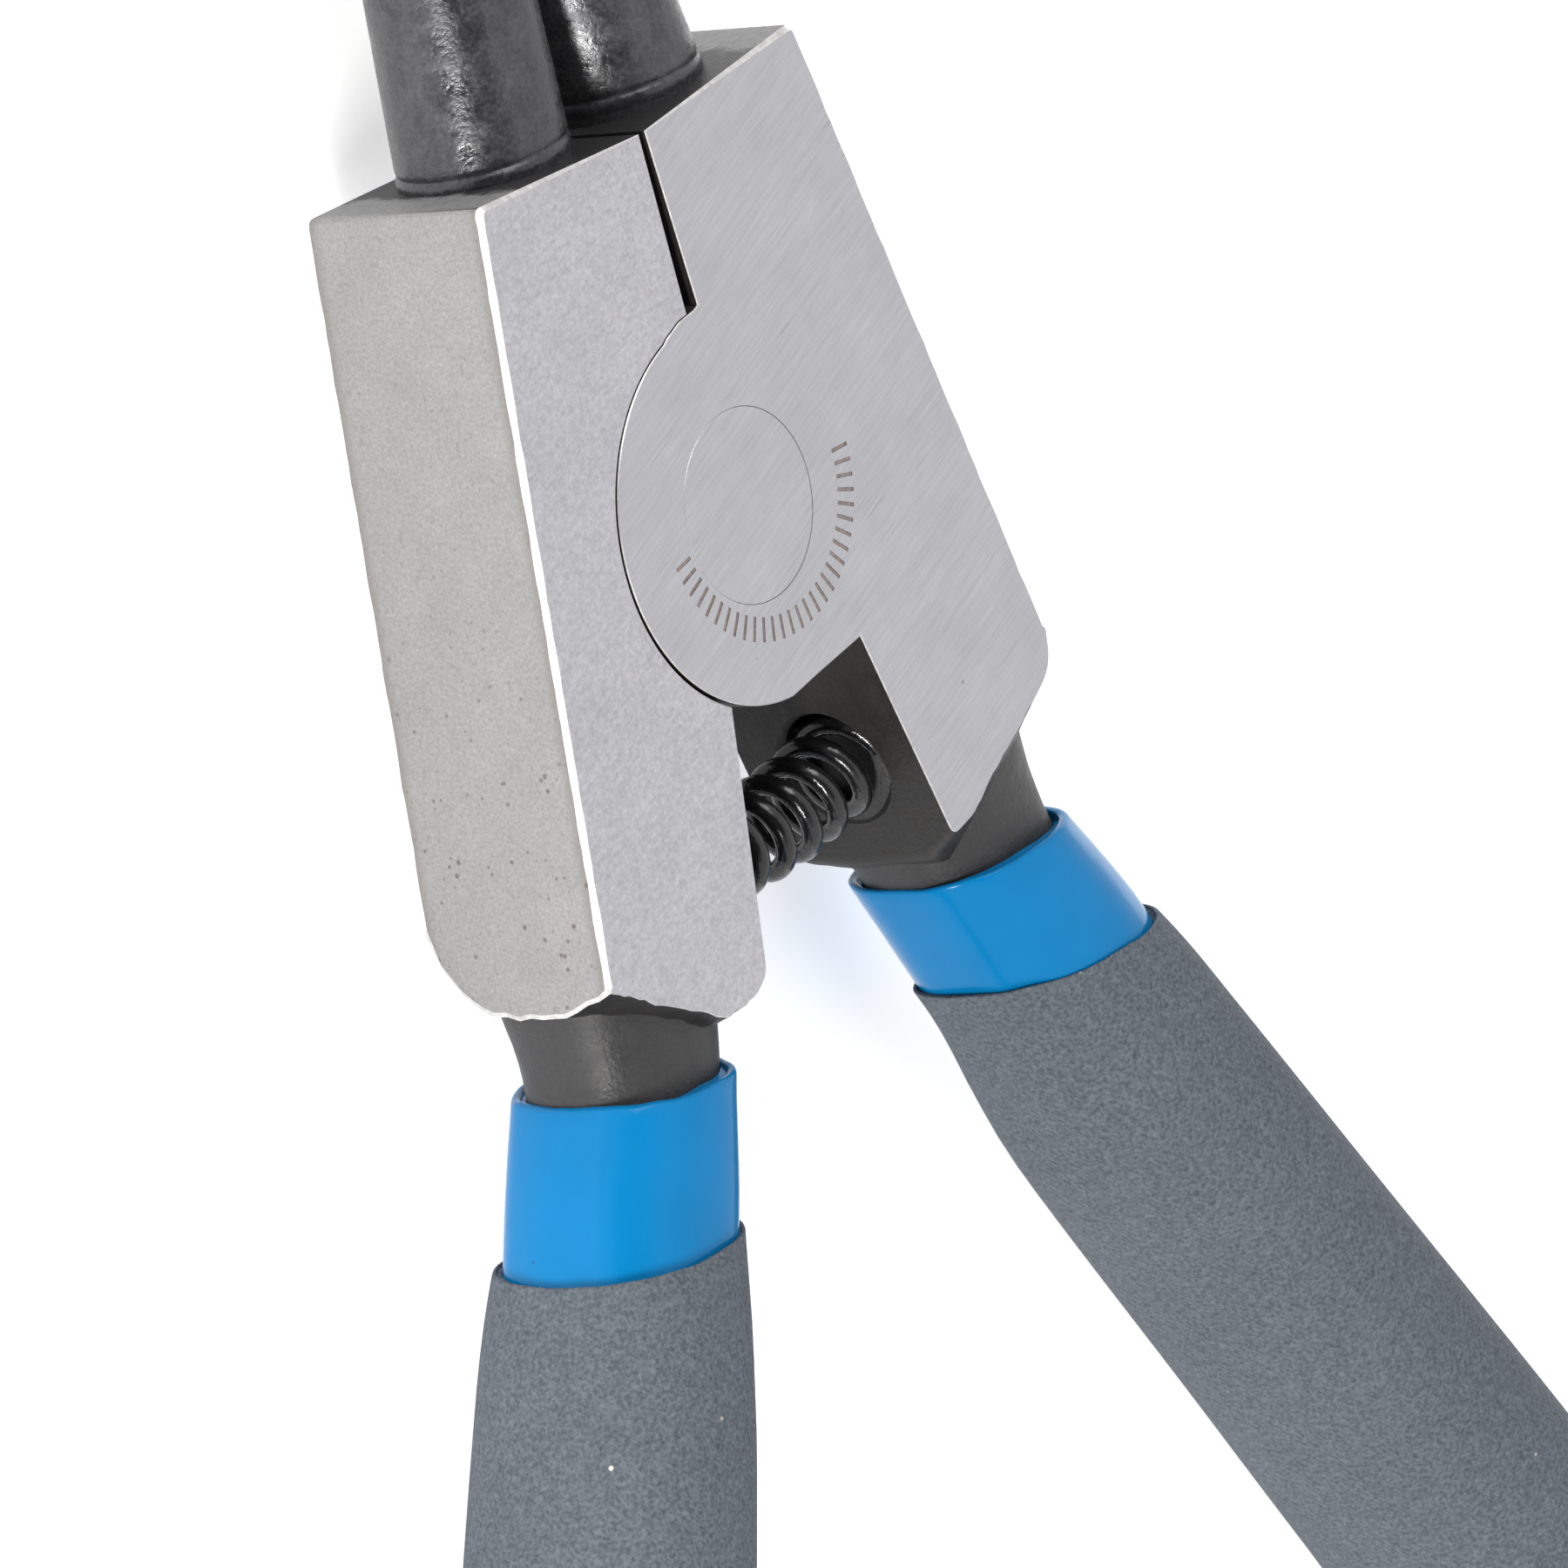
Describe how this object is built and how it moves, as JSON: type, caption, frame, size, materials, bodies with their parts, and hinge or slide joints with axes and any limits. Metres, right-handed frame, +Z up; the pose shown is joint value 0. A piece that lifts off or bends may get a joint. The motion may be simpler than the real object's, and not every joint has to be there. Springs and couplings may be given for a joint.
{
  "type": "retaining ring pliers",
  "caption": "Spring-opened pliers with straight round jaws and pin tips that spread external retaining rings when the dipped handles are squeezed.",
  "frame": {"origin": "bottom centre of the pliers lying flat on their back face with the jaws at rest together", "axes": "+Y along the pliers to the jaw tips, +X to the lever whose disc lies in front, +Z up out of the front face, along the rivet"},
  "size_m": [0.1014, 0.1814, 0.0152],
  "materials": {
    "lever_steel": "ground bright on the head's faces, black as forged elsewhere",
    "rivet_steel": "ground flush",
    "spring_steel": "black, glossy",
    "tip_steel": "satin",
    "sleeve_vinyl": "glossy dip",
    "grip_vinyl": "rough matte dip"
  },
  "bodies": {
    "left_half": {"left_lever": "lever_steel", "left_tip_pin": "tip_steel", "left_inner_sleeve": "sleeve_vinyl", "left_outer_grip": "grip_vinyl", "pivot_rivet": "rivet_steel", "return_spring": "spring_steel"},
    "right_half": {"right_lever": "lever_steel", "right_tip_pin": "tip_steel", "right_inner_sleeve": "sleeve_vinyl", "right_outer_grip": "grip_vinyl"}
  },
  "joints": [
    {"name": "handle_squeeze", "type": "hinge", "parent": "left_half", "child": "right_half", "pos_m": [0, 0.0277, 0.00762], "axis": [0, 0, -1], "range_deg": [0, 20], "stiffness_Nm_per_rad": 1.5, "springref_deg": -17.19, "deforming": ["return_spring"]}
  ]
}
